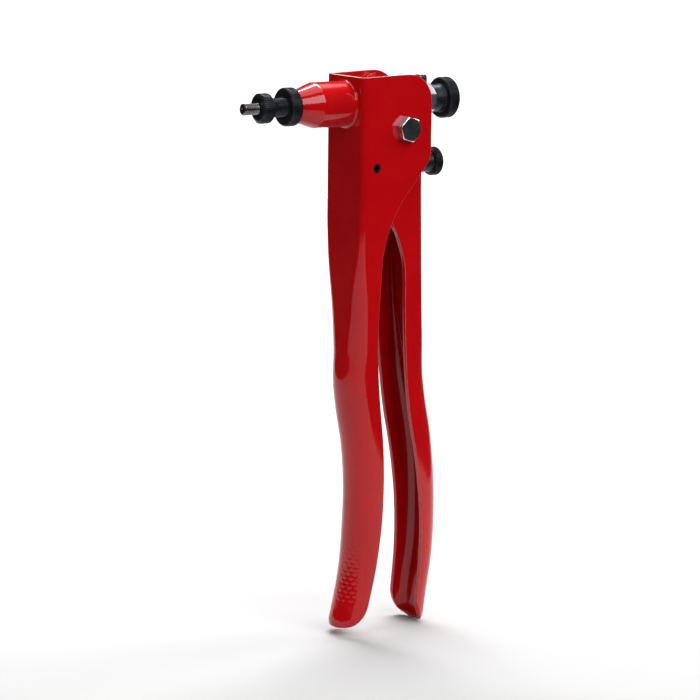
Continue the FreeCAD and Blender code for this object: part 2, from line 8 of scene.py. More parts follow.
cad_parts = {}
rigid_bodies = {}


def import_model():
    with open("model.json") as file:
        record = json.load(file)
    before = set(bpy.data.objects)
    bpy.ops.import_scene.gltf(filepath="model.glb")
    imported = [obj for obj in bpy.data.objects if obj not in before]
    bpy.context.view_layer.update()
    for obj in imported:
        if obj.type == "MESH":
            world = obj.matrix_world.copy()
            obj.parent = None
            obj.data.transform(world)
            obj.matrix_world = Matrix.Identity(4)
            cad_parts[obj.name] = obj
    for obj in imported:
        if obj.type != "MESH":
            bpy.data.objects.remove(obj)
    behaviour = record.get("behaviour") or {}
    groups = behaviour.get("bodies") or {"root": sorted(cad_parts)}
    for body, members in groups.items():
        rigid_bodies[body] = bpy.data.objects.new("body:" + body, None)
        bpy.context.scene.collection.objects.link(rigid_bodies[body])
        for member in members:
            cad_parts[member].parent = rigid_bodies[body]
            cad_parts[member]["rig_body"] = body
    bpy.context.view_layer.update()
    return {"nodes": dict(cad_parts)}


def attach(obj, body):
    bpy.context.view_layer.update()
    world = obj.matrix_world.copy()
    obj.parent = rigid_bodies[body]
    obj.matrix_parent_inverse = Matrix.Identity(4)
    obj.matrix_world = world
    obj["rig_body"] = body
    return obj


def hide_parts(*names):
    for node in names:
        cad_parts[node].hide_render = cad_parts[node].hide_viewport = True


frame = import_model()
nodes = frame["nodes"]
mm = 0.001
bpy.ops.object.select_all(action="DESELECT")

# the camera stands in front of the nose on its near side, metres and degrees
camera = {
    "place": (-0.70636, -1.04468, 0.13479),
    "aim": (0.0472, -0.0183, -0.1273),
    "roll": 0.787,
    "lens": 127.5,
}
bpy.ops.object.camera_add(location=camera["place"])
cam = bpy.context.object
look = Vector(camera["aim"]) - Vector(camera["place"])
cam.rotation_mode = "QUATERNION"
cam.rotation_quaternion = look.to_track_quat("-Z", "Y") @ Quaternion((0, 0, 1), math.radians(camera["roll"]))
cam.data.lens = camera["lens"]
cam.data.clip_end = 30
bpy.context.scene.camera = cam
print("camera ready")


def addNode(tree, kind, values=None):
    node = tree.nodes.new(kind)
    for socket, value in (values or {}).items():
        node.inputs[socket].default_value = value
    return node


def startMaterial(name, shader):
    material = bpy.data.materials.new(name)
    material.use_nodes = True
    tree = material.node_tree
    base = tree.nodes["Principled BSDF"]
    for socket, value in shader.items():
        base.inputs[socket].default_value = value
    return material, tree, base


def noiseOn(tree, scale, detail=3.0, stretch=(1, 1, 1)):
    place = addNode(tree, "ShaderNodeTexCoord")
    turn = addNode(tree, "ShaderNodeMapping", {"Scale": stretch})
    tree.links.new(place.outputs["Object"], turn.inputs["Vector"])
    noise = addNode(tree, "ShaderNodeTexNoise", {"Scale": scale, "Detail": detail, "Roughness": 0.55})
    tree.links.new(turn.outputs["Vector"], noise.inputs["Vector"])
    return noise.outputs["Fac"]


def ramp(tree, source, stops, target):
    node = addNode(tree, "ShaderNodeValToRGB")
    line = node.color_ramp
    while len(line.elements) < len(stops):
        line.elements.new(0.5)
    for element, (spot, colour) in zip(line.elements, stops):
        element.position = spot
        element.color = (*colour, 1)
    tree.links.new(source, node.inputs["Fac"])
    tree.links.new(node.outputs["Color"], target)


def rangeTo(tree, source, low, high, target):
    node = addNode(tree, "ShaderNodeMapRange", {"From Min": 0.3, "From Max": 0.7, "To Min": low, "To Max": high})
    tree.links.new(source, node.inputs["Value"])
    tree.links.new(node.outputs["Result"], target)


def bumpFrom(tree, source, base, strength, distance, before=None):
    bump = addNode(tree, "ShaderNodeBump", {"Strength": strength, "Distance": distance})
    tree.links.new(source, bump.inputs["Height"])
    if before:
        tree.links.new(before.outputs["Normal"], bump.inputs["Normal"])
    tree.links.new(bump.outputs["Normal"], base.inputs["Normal"])
    return bump


# peel and speck are the noise scales of the fine waves in the coat
enamelLook = {"deep": (0.41, 0.001, 0.0028), "clear": (0.47, 0.0018, 0.004), "peel": 700, "speck": 2600}


def makeEnamel():
    material, tree, base = startMaterial("redEnamel", {
        "Coat Weight": 1.0, "Coat Roughness": 0.04, "Coat IOR": 1.45, "Specular IOR Level": 0.02})
    shade = noiseOn(tree, 38, 4)
    ramp(tree, shade, [(0.3, enamelLook["deep"]), (0.7, enamelLook["clear"])], base.inputs["Base Color"])
    rangeTo(tree, noiseOn(tree, 120, 3), 0.3, 0.42, base.inputs["Roughness"])
    peel = bumpFrom(tree, noiseOn(tree, enamelLook["peel"], 2), base, 0.06, 0.0004)
    bumpFrom(tree, noiseOn(tree, enamelLook["speck"], 2), base, 0.04, 0.0001, peel)
    tree.links.new(peel.outputs["Normal"], base.inputs["Coat Normal"])
    return material


# the sheet's edges are painted a paler pinkish red, a painted highlight along the rims
rimHighlightLook = {"deep": (0.44, 0.03, 0.04), "clear": (0.54, 0.08, 0.09)}


def makeRimHighlight():
    material, tree, base = startMaterial("thinEnamelEdge", {
        "Coat Weight": 0.6, "Coat Roughness": 0.06, "Coat IOR": 1.45, "Specular IOR Level": 0.05, "Roughness": 0.35})
    ramp(tree, noiseOn(tree, 260, 4), [(0.3, rimHighlightLook["deep"]), (0.7, rimHighlightLook["clear"])], base.inputs["Base Color"])
    bumpFrom(tree, noiseOn(tree, enamelLook["peel"], 2), base, 0.06, 0.0004)
    return material


oxideLook = {"dark": (0.012, 0.013, 0.016), "light": (0.034, 0.039, 0.050)}


def makeOxide():
    material, tree, base = startMaterial("blackOxide", {"Metallic": 0.7, "Specular IOR Level": 0.4})
    shades = [(0.35, oxideLook["dark"]), (0.75, oxideLook["light"])]
    ramp(tree, noiseOn(tree, 420, 5), shades, base.inputs["Base Color"])
    rangeTo(tree, noiseOn(tree, 260, 4), 0.3, 0.44, base.inputs["Roughness"])
    rings = bumpFrom(tree, noiseOn(tree, 300, 3, (14, 1, 1)), base, 0.18, 0.00006)
    bumpFrom(tree, noiseOn(tree, 3000, 2), base, 0.12, 0.00003, rings)
    return material


def makeMetal(name, dark, light, smooth, rough, stretch=(1, 1, 1)):
    material, tree, base = startMaterial(name, {"Metallic": 1.0})
    ramp(tree, noiseOn(tree, 210, 5), [(0.3, dark), (0.7, light)], base.inputs["Base Color"])
    rangeTo(tree, noiseOn(tree, 330, 3), smooth, rough, base.inputs["Roughness"])
    bumpFrom(tree, noiseOn(tree, 500, 3, stretch), base, 0.15, 0.00005)
    return material


def makeNylon():
    material, tree, base = startMaterial("blueNylon", {"Roughness": 0.5, "Subsurface Weight": 0.05})
    ramp(tree, noiseOn(tree, 300, 2), [(0.3, (0.04, 0.10, 0.32)), (0.7, (0.06, 0.14, 0.4))], base.inputs["Base Color"])
    bumpFrom(tree, noiseOn(tree, 1500, 2), base, 0.1, 0.00005)
    return material


finishes = {
    "red_enamel": makeEnamel(),
    "black_oxide": makeOxide(),
    "zinc_plate": makeMetal("zincPlate", (0.42, 0.50, 0.58), (0.72, 0.79, 0.85), 0.1, 0.2),
    "bright_steel": makeMetal("turnedSteel", (0.42, 0.42, 0.43), (0.62, 0.62, 0.63), 0.2, 0.34, (12, 1, 1)),
    "mandrel_steel": makeMetal("mandrelSteel", (0.10, 0.095, 0.095), (0.25, 0.24, 0.24), 0.16, 0.28),
    "bronze": makeMetal("bearingBronze", (0.42, 0.26, 0.10), (0.58, 0.38, 0.17), 0.3, 0.45),
    "nylon": makeNylon(),
}
# the paler red for the sheet's rims is a painted highlight
rimHighlightFinish = makeRimHighlight()
print("materials ready")


def activate(thing):
    bpy.ops.object.select_all(action="DESELECT")
    thing.select_set(True)
    bpy.context.view_layer.objects.active = thing


def editMesh(thing, *steps):
    activate(thing)
    bpy.ops.object.mode_set(mode="EDIT")
    bpy.ops.mesh.select_all(action="SELECT")
    for step in steps:
        step()
    bpy.ops.object.mode_set(mode="OBJECT")


def applyModifier(thing, kind, **settings):
    activate(thing)
    modifier = thing.modifiers.new(kind.title(), kind)
    for key, value in settings.items():
        setattr(modifier, key, value)
    bpy.ops.object.modifier_apply(modifier=modifier.name)


def finishPiece(thing, name, node, degrees=35, weighted=False):
    thing.name = name
    thing.data.name = name
    activate(thing)
    bpy.ops.object.shade_smooth_by_angle(angle=math.radians(degrees))
    if weighted:
        applyModifier(thing, "WEIGHTED_NORMAL", keep_sharp=True, weight=50)
    slotName = nodeSlot(node)
    if not thing.data.materials or slotName != "red_enamel":
        thing.data.materials.clear()
        thing.data.materials.append(finishes[slotName])
    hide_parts(node)
    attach(thing, nodes[node]["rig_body"])
    return thing


def nodeSlot(node):
    names = [m.name for m in nodes[node].data.materials if m]
    return next(slotName for slotName in finishes if any(slotName in name for name in names))


def easedOutline(corners, radius):
    count = len(corners)
    made = []
    for i, (x, r) in enumerate(corners):
        x0, r0 = corners[i - 1]
        x1, r1 = corners[(i + 1) % count]
        back = math.hypot(x0 - x, r0 - r)
        ahead = math.hypot(x1 - x, r1 - r)
        turn = abs((x - x0) * (r1 - r) - (r - r0) * (x1 - x)) / max(back * ahead, 1e-9)
        if r < 1e-6 or turn < 0.2 or min(back, ahead) < 0.25:
            made.append((x, r))
            continue
        cut = min(radius, back * 0.4, ahead * 0.4)
        p = (x + (x0 - x) * cut / back, r + (r0 - r) * cut / back)
        q = (x + (x1 - x) * cut / ahead, r + (r1 - r) * cut / ahead)
        for t in (0, 0.35, 0.65, 1):
            a, b, c = (1 - t) ** 2, 2 * t * (1 - t), t * t
            made.append((a * p[0] + b * x + c * q[0], a * p[1] + b * r + c * q[1]))
    return made


def stepsAlong(start, end, step):
    count = max(1, round(math.hypot(end[0] - start[0], end[1] - start[1]) / step))
    return [(start[0] + (end[0] - start[0]) * i / count, start[1] + (end[1] - start[1]) * i / count)
            for i in range(count + 1)]


# turns an outline of x and radius about the nose axis, with its corners eased
def turnOutline(corners, steps, ease, height=0.0):
    points = easedOutline(corners, ease)
    bpy.ops.mesh.primitive_circle_add(vertices=len(points), radius=0.01)
    thing = bpy.context.object
    for vertex, (x, r) in zip(thing.data.vertices, points):
        vertex.co = (x * mm, 0, r * mm)
    thing.matrix_world.identity()
    editMesh(
        thing,
        lambda: bpy.ops.mesh.spin(steps=steps, angle=math.tau, center=(0, 0, 0), axis=(1, 0, 0)),
        lambda: bpy.ops.mesh.select_all(action="SELECT"),
        lambda: bpy.ops.mesh.remove_doubles(threshold=2e-6),
        lambda: bpy.ops.mesh.delete_loose(use_verts=True, use_edges=True),
        lambda: bpy.ops.mesh.select_all(action="SELECT"),
        lambda: bpy.ops.mesh.normals_make_consistent(inside=False))
    for vertex in thing.data.vertices:
        vertex.co.z += height * mm
    return thing


# sinks grooves between the teeth of a turned rim
def knurl(thing, teeth, depth, start, end, least, height=0.0):
    for vertex in thing.data.vertices:
        x, y, z = vertex.co / mm
        z -= height
        r = math.hypot(y, z)
        if start - 1e-4 <= x <= end + 1e-4 and r > least:
            wave = math.cos(math.atan2(z, y) * teeth)
            drop = depth * min(1, max(0, 0.5 - 0.9 * wave))
            vertex.co.y = y * (r - drop) / r * mm
            vertex.co.z = (height + z * (r - drop) / r) * mm


# winds a V groove round a turned shank
def cutThread(thing, radius, pitch, depth, start, end, height=0.0, runout=0.6):
    for vertex in thing.data.vertices:
        x, y, z = vertex.co / mm
        z -= height
        r = math.hypot(y, z)
        if start <= x <= end and abs(r - radius) < 0.02:
            phase = (x / pitch - math.atan2(z, y) / math.tau) % 1
            drop = depth * (1 - abs(2 * phase - 1)) * min(1, (x - start) / runout, (end - x) / runout)
            vertex.co.y = y * (r - drop) / r * mm
            vertex.co.z = (height + z * (r - drop) / r) * mm


# a copy of the CAD mesh with its corners eased
def softened(node, name, width):
    thing = bpy.data.objects.new(name, nodes[node].data.copy())
    bpy.context.scene.collection.objects.link(thing)
    editMesh(
        thing,
        lambda: bpy.ops.mesh.remove_doubles(threshold=2e-6),
        lambda: bpy.ops.mesh.dissolve_limited(angle_limit=math.radians(1.5)))
    applyModifier(thing, "BEVEL", width=width * mm, segments=2, limit_method="ANGLE",
                  angle_limit=math.radians(30), use_clamp_overlap=True)
    return finishPiece(thing, name, node, 32, True)


# sizes from here on are millimetres; x runs back from the nosepiece's front face
mandrelSize = {"radius": 3.0, "tip": -9.3, "chamfer": 0.75, "relief": -0.3, "shank": 2.8, "end": 45.0, "pitch": 1.0}


def makeMandrel():
    s = mandrelSize
    thread = s["tip"] + s["chamfer"] * 0.7
    outline = [(s["tip"] + 0.5, 0), (s["tip"] + 0.12, 0.55), (s["tip"], 0.9), (s["tip"], s["radius"] - s["chamfer"])]
    outline += stepsAlong((thread, s["radius"]), (s["relief"], s["radius"]), 0.1)
    outline += [(s["relief"], s["shank"]), (s["end"], s["shank"]), (s["end"], 0)]
    thing = turnOutline(outline, 72, 0.12)
    cutThread(thing, s["radius"], s["pitch"], 0.5, thread - 0.01, s["relief"] - 0.05, runout=0.25)
    return finishPiece(thing, "threadedMandrel", "mandrel", 50)


nosepieceSize = {
    "head": 7.75, "headEnd": 6.3, "face": 5.95, "chamfer": 1.2,
    "neck": 5.0, "end": 26.0, "bore": 3.15, "threadStart": 8.3, "threadEnd": 17.5,
    "teeth": 44, "depth": 0.48,
}


def makeNosepiece():
    s = nosepieceSize
    outline = [(0, s["bore"] + 0.25), (0, s["face"]), (s["chamfer"], s["head"])]
    outline += stepsAlong((s["chamfer"] + 0.35, s["head"]), (s["headEnd"] - 0.4, s["head"]), 1.2)
    outline += [(s["headEnd"], s["head"] - 0.4), (s["headEnd"], s["neck"] - 0.45),
                (s["threadStart"] - 0.7, s["neck"] - 0.45), (s["threadStart"] - 0.2, s["neck"])]
    outline += stepsAlong((s["threadStart"], s["neck"]), (s["threadEnd"], s["neck"]), 0.11)
    outline += [(s["end"], s["neck"]), (s["end"], s["bore"]), (0.25, s["bore"])]
    thing = turnOutline(outline, s["teeth"] * 6, 0.2)
    knurl(thing, s["teeth"], s["depth"], s["chamfer"] + 0.15, s["headEnd"] - 0.3, s["head"] - 0.3)
    cutThread(thing, s["neck"], 1.0, 0.45, s["threadStart"] - 0.05, s["threadEnd"] - 0.1)
    return finishPiece(thing, "knurledNosepiece", "nosepiece", 38)


lockRingSize = {
    "front": 16.0, "width": 5.95, "radius": 10.0, "chamfer": 0.8, "bore": 5.06,
    "teeth": 60, "depth": 0.46,
}


def makeLockRing():
    s = lockRingSize
    f, e = s["front"], s["front"] + s["width"]
    outline = [(f, s["bore"] + 0.5), (f, s["radius"] - s["chamfer"]), (f + s["chamfer"], s["radius"])]
    outline += stepsAlong((f + s["chamfer"] + 0.3, s["radius"]), (e - 0.5, s["radius"]), 1.3)
    outline += [(e, s["radius"] - 0.5), (e, s["bore"]), (f + 0.5, s["bore"])]
    thing = turnOutline(outline, s["teeth"] * 6, 0.2)
    knurl(thing, s["teeth"], s["depth"], f + s["chamfer"] + 0.1, e - 0.4, s["radius"] - 0.3)
    return finishPiece(thing, "knurledLockRing", "lock_ring", 38)


noseTubeSize = {
    "front": 22.0, "mouth": 7.9, "coneEnd": 34.0, "radius": 12.0,
    "web": 54.8, "beadReach": 1.3, "beadHeight": 1.2,
    "spigot": 10.0, "end": 58.9, "cavity": 8.5, "step": 30.5, "bore": 5.06,
}


def makeNoseTube():
    s = noseTubeSize
    outline = [(s["front"], s["bore"]), (s["front"], s["mouth"]), (s["coneEnd"], s["radius"])]
    for i in range(7):
        t = math.radians(15 * i)
        x, r = s["web"] - s["beadReach"] * (1 - math.sin(t)), s["radius"] + s["beadHeight"] * (1 - math.cos(t))
        outline.append((x, r))
    outline += [(s["web"] + 0.02, s["spigot"]), (s["end"], s["spigot"]), (s["end"], s["cavity"]),
                (s["step"], s["cavity"]), (s["step"], s["bore"])]
    thing = turnOutline(outline, 144, 0.7)
    return finishPiece(thing, "weldedNoseTube", "nose_tube", 40, True)


spindleKnobSize = {
    "front": 110.35, "boss": 7.25, "bossLength": 7.1,
    "radius": 11.0, "width": 6.5, "teeth": 68, "depth": 0.46,
    "bore": 5.0, "boreEnd": 119.0, "height": 0.0,
}
strokeKnobSize = {
    "front": 101.0, "boss": 5.6, "bossLength": 10.0,
    "radius": 7.7, "width": 5.3, "teeth": 48, "depth": 0.46,
    "bore": 3.06, "boreEnd": 111.7, "height": -33.9,
}


def makeKnob(s, name, node):
    f = s["front"]
    disc = f + s["bossLength"]
    end = disc + s["width"]
    outline = [(f, s["bore"]), (f, s["boss"] - 0.4), (f + 0.4, s["boss"]), (disc - 0.5, s["boss"]),
               (disc, s["boss"] + 0.5), (disc, s["radius"] - 0.9), (disc + 0.9, s["radius"])]
    outline += stepsAlong((disc + 1.2, s["radius"]), (end - 1.2, s["radius"]), 1.2)
    outline += [(end - 0.9, s["radius"]), (end, s["radius"] - 0.9), (end, s["radius"] * 0.62),
                (end - 0.3, s["radius"] * 0.55), (end - 0.3, 0), (s["boreEnd"], 0), (s["boreEnd"], s["bore"])]
    thing = turnOutline(outline, s["teeth"] * 6, 0.3, s["height"])
    knurl(thing, s["teeth"], s["depth"], disc + 0.85, end - 0.85, s["radius"] - 0.3, s["height"])
    return finishPiece(thing, name, node, 38)


strokeScrewSize = {"tip": 70.6, "threadEnd": 90.4, "end": 111.6, "radius": 3.0, "height": -33.9}


def makeStrokeScrew():
    s = strokeScrewSize
    outline = [(s["tip"], 0), (s["tip"], s["radius"] - 1)]
    outline += stepsAlong((s["tip"] + 1, s["radius"]), (s["threadEnd"], s["radius"]), 0.12)
    outline += [(s["end"], s["radius"]), (s["end"], 0)]
    thing = turnOutline(outline, 48, 0.2, s["height"])
    cutThread(thing, s["radius"], 1.0, 0.5, s["tip"] + 0.9, s["threadEnd"] - 0.1, s["height"])
    return finishPiece(thing, "strokeScrewThread", "stroke_screw", 45)


spindleSize = {"front": 45.0, "end": 119.0, "radius": 5.0, "groove": (68.4, 69.7), "grooveRadius": 4.3}


def makeSpindle():
    s = spindleSize
    a, b = s["groove"]
    outline = [(s["front"], 0), (s["front"], s["radius"]), (a, s["radius"]), (a, s["grooveRadius"]),
               (b, s["grooveRadius"]), (b, s["radius"]), (s["end"], s["radius"]), (s["end"], 0)]
    return finishPiece(turnOutline(outline, 72, 0.2), "turnedSpindle", "spindle", 35)


makeMandrel()
makeNosepiece()
makeLockRing()
makeNoseTube()
makeKnob(spindleKnobSize, "spindleKnobDisc", "spindle_knob")
makeKnob(strokeKnobSize, "strokeKnobDisc", "stroke_knob")
makeStrokeScrew()
makeSpindle()
print("turned pieces ready")

hexNut = softened("hex_nut", "spindleHexNut", 0.25)
hexNut.data.materials[0] = makeMetal("satinZinc", (0.44, 0.52, 0.61), (0.68, 0.76, 0.83), 0.26, 0.38)
softened("pivot_bolt", "pivotHexBolt", 0.25)
softened("pivot_nut", "pivotLockNut", 0.2)
softened("pivot_washer", "pivotFlatWasher", 0.2)
softened("return_plate", "returnPlateEased", 0.3)
softened("thrust_plate", "thrustPlateEased", 0.35)
softened("adjuster_nut", "adjusterNutEased", 0.25)
softened("stop_pin", "stopPinEased", 0.25)
softened("pivot_bushes", "bronzeBushes", 0.2)
print("plates, bolts and nuts ready")


# count steps along the circle through three points
def arcThrough(a, b, c, count):
    (x1, z1), (x2, z2), (x3, z3) = a, b, c
    d = 2 * (x1 * (z2 - z3) + x2 * (z3 - z1) + x3 * (z1 - z2))
    u = ((x1 ** 2 + z1 ** 2) * (z2 - z3) + (x2 ** 2 + z2 ** 2) * (z3 - z1) + (x3 ** 2 + z3 ** 2) * (z1 - z2)) / d
    v = ((x1 ** 2 + z1 ** 2) * (x3 - x2) + (x2 ** 2 + z2 ** 2) * (x1 - x3) + (x3 ** 2 + z3 ** 2) * (x2 - x1)) / d
    start = math.atan2(z1 - v, x1 - u)
    sweep = (math.atan2(z3 - v, x3 - u) - start + math.pi) % math.tau - math.pi
    radius = math.hypot(x1 - u, z1 - v)
    return [(u + radius * math.cos(start + sweep * i / count), v + radius * math.sin(start + sweep * i / count))
            for i in range(count + 1)]


# a smooth value between the rows of a table that runs downwards
def readSmooth(table, level, column, flatTop=False):
    last = len(table) - 1
    i = max([k for k in range(last) if table[k][0] >= level] or [0])

    def slope(k):
        if k == 0 and flatTop:
            return 0
        a, b = max(k - 1, 0), min(k + 1, last)
        return (table[b][column] - table[a][column]) / (table[b][0] - table[a][0])

    span = table[i + 1][0] - table[i][0]
    t = (level - table[i][0]) / span
    return ((2 * t ** 3 - 3 * t ** 2 + 1) * table[i][column] + (t ** 3 - 2 * t ** 2 + t) * span * slope(i)
            + (3 * t ** 2 - 2 * t ** 3) * table[i + 1][column] + (t ** 3 - t ** 2) * span * slope(i + 1))


def readStations(table, level, column):
    return table[0][column] if level >= table[0][0] else readSmooth(table, level, column, True)


# rows are closer together where the scales are
gridSteps = {"arc": 14, "plain": 2.4, "scaled": 0.48, "scaledTop": -194, "scaledEnd": -281}


def curveLevels(points):
    table = [(z, x) for x, z in points]
    made = []
    level = table[0][0]
    while level > table[-1][0] + gridSteps["plain"] * 0.4:
        made.append((readSmooth(table, level, 1), level))
        scaled = gridSteps["scaledEnd"] < level < gridSteps["scaledTop"]
        level -= gridSteps["scaled"] if scaled else gridSteps["plain"]
    return made + [(table[-1][1], table[-1][0])]


def openEdge(stretches, endRows):
    rows = []
    for kind, points in stretches:
        count = endRows if points is stretches[-1][1] else gridSteps["arc"]
        made = arcThrough(*points, count) if kind == "arc" else curveLevels(points)
        rows += made if not rows else made[1:]
    return rows


# overlapping round scales pressed into the grip, 0 to 1
def scaleDepth(along, level, s):
    best = 0.0
    low, high = s["scaleRows"]
    fade = min(1, max(0, (high - level) / 45), max(0, (level - low) / 3))
    fade *= min(1, max(0, (s["scaleHalf"] - abs(along)) / 0.8))
    if fade <= 0:
        return 0.0
    rise, pitch = s["scaleRise"], s["scalePitch"]
    row = math.floor(level / rise)
    for j in (row - 1, row, row + 1, row + 2):
        shift = 0.5 * (j % 2)
        column = round(along / pitch - shift)
        du = along - (column + shift) * pitch
        dv = level - j * rise
        distance = math.hypot(du, dv * 0.9)
        lean = max(0.0, -dv / max(distance, 1e-6))
        groove = math.exp(-((distance - s["scaleArc"]) / 0.5) ** 2) * min(1, lean * 1.5)
        best = max(best, groove)
    return best * fade


# the open edge gives the rows; each row runs round the web, the bends and the cheeks
def makeChannel(s):
    rows = openEdge(s["edge"], s["endRows"])
    sign = s["sign"]
    webCount, bendCount, cheekCount = s["columns"]
    fractions = [("web", i / webCount) for i in range(webCount)]
    fractions += [("bend", i / bendCount) for i in range(bendCount)]
    fractions += [("cheek", i / cheekCount) for i in range(cheekCount + 1)]
    across = 2 * len(fractions) - 1
    bpy.ops.mesh.primitive_grid_add(x_subdivisions=across - 1, y_subdivisions=len(rows) - 1, size=0.1)
    thing = bpy.context.object
    order = sorted(range(len(thing.data.vertices)),
                   key=lambda v: (-round(thing.data.vertices[v].co.y, 7), round(thing.data.vertices[v].co.x, 7)))
    spots = {}
    last = s["endRows"]
    first = len(rows) - 1 - last  # the rows of the last arc are spread evenly down the web
    for r, (edge, rim) in enumerate(rows):
        level = rim if r <= first else rows[first][1] + (rows[-1][1] - rows[first][1]) * (r - first) / last
        half = s["half"] - readStations(s["stations"], level, 1)
        bend = readStations(s["stations"], level, 2)
        web = s["web"] + readStations(s["stations"], level, 3)
        flat = half - bend
        depth = sign * (edge - web)
        rise = level - rows[-1][1]
        if rise < s["endRound"]:  # the end is drawn in like a spoon
            pull = 1 - math.sqrt(1 - (1 - rise / s["endRound"]) ** 2)
            inset = min(s["endInset"], depth - 0.5) * pull
            web += sign * inset
            depth -= inset
            half -= s["endPinch"] * pull
            bend -= s["endPinch"] * pull
        quarter = bend * math.pi / 2
        total = flat + (quarter + depth - bend if depth >= bend else bend * math.acos(max(-1, 1 - depth / bend)))
        bendEnd = min(flat + quarter, total * 0.72)
        for c in range(across):
            side = -1 if c < len(fractions) - 1 else 1
            zone, f = fractions[abs(c - (len(fractions) - 1))]
            low, high = {"web": (0, flat), "bend": (flat, bendEnd), "cheek": (bendEnd, total)}[zone]
            along = low + (high - low) * f
            if along <= flat:
                x, y = web, along
            elif along <= flat + quarter:
                turn = (along - flat) / bend
                x, y = web + sign * bend * (1 - math.cos(turn)), flat + bend * math.sin(turn)
            else:
                x, y = web + sign * (bend + along - flat - quarter), half
            z = level + (rim - level) * (along / total) ** 2
            if s["topFall"] and level > 0 and x < rows[0][0]:
                z -= s["topFall"] * (rows[0][0] - x) / s["topDepth"] * (level / rows[0][1])
            v = order[r * across + c]
            thing.data.vertices[v].co = (x * mm, side * y * mm, z * mm)
            spots[v] = (side * along, level)
    thing.matrix_world.identity()
    middle = min(thing.data.polygons, key=lambda p: abs(p.center.y) + abs(p.center.z + 0.15))
    if middle.normal.x * sign > 0:
        editMesh(thing, lambda: bpy.ops.mesh.flip_normals())
    outward = {v: thing.data.vertices[v].normal.copy() for v in spots}
    applyModifier(thing, "SOLIDIFY", thickness=s["sheet"] * mm, offset=-1,
                  use_even_offset=True, use_quality_normals=True)
    for v, (along, level) in spots.items():
        drop = scaleDepth(along, level, s) * s["scaleDepth"]
        if drop > 0:
            thing.data.vertices[v].co -= outward[v] * drop * mm
    return thing


rimBevel = {"width": 0.32, "segments": 3, "angle": 55}


def bevelRims(thing):
    thing.data.materials.append(finishes["red_enamel"])
    thing.data.materials.append(rimHighlightFinish)
    # the bevel faces take material 1, the paler painted rim highlight
    applyModifier(thing, "BEVEL", width=rimBevel["width"] * mm, segments=rimBevel["segments"], limit_method="ANGLE",
                  angle_limit=math.radians(rimBevel["angle"]), use_clamp_overlap=False, material=1)


def cutWith(thing, cutter):
    applyModifier(thing, "BOOLEAN", operation="DIFFERENCE", object=cutter, solver="MANIFOLD")
    bpy.data.objects.remove(cutter)


def drill(thing, x, z, radius, along="Y", depth=50, vertices=64):
    turn = (math.pi / 2, 0, 0) if along == "Y" else (0, math.pi / 2, 0)
    bpy.ops.mesh.primitive_cylinder_add(vertices=vertices, radius=radius * mm, depth=depth * mm, rotation=turn,
                                        location=(x * mm, 0, z * mm))
    cutWith(thing, bpy.context.object)


fixedHandleSize = {
    "sign": 1, "half": 17.0, "web": 54.8, "sheet": 2.5, "topFall": 1.1, "topDepth": 44.7,
    "columns": (4, 46, 3), "endRows": 8, "endRound": 5.5, "endInset": 1.6, "endPinch": 2.8,
    # level, narrowing of each side, bend radius, step of the web face
    "stations": [
        (-54, 0, 4, 0), (-66, 0.2, 4.3, -0.2), (-85, 1.0, 6, -0.6), (-110, 2.5, 9.3, -0.7), (-132, 3.9, 11.8, -1.6),
        (-149, 4.5, 12.2, -2.4), (-166, 4.5, 12.2, -0.2), (-185, 4.5, 12.2, 3.4), (-207, 4.5, 12.2, 5.2),
        (-230, 4.5, 12.2, 4.7), (-252, 4.5, 12.2, 3.0), (-271, 4.5, 12.2, -0.6), (-290, 4.5, 12.2, -5.8)],
    # the open edge from the top down, x and z
    "edge": [
        ("arc", [(84.7, 15.1), (95.31, 10.71), (99.7, 0.1)]),
        ("line", [(99.7, 0.1), (99.7, -26.5)]),
        ("arc", [(99.7, -26.5), (98.9, -30.1), (97.1, -33.1)]),
        ("line", [(97.1, -33.1), (84.1, -48.1)]),
        ("arc", [(84.1, -48.1), (73.2, -66.8), (69.4, -88.1)]),
        ("curve", [(69.4, -88.1), (69.2, -121), (71.9, -157), (75.2, -190), (75.1, -222), (71.6, -250), (66.4, -272)]),
        ("arc", [(66.4, -272), (61.6, -280), (52, -284.5)])],
    "scaleRows": (-280, -200), "scaleHalf": 11.2, "scaleRise": 2.4, "scalePitch": 4.4, "scaleArc": 1.35,
    "scaleDepth": 0.09,
    "boltHole": (83.0, -13.2, 4.06), "pinHole": (64.1, -32.9, 2.5), "tubeHole": (54.8, 0, 10.0),
}


def makeFixedHandle():
    s = fixedHandleSize
    thing = makeChannel(s)
    bevelRims(thing)
    drill(thing, *s["boltHole"])
    drill(thing, *s["pinHole"])
    drill(thing, *s["tubeHole"], along="X")
    return finishPiece(thing, "fixedHandleChannel", "fixed_handle", 35, True)


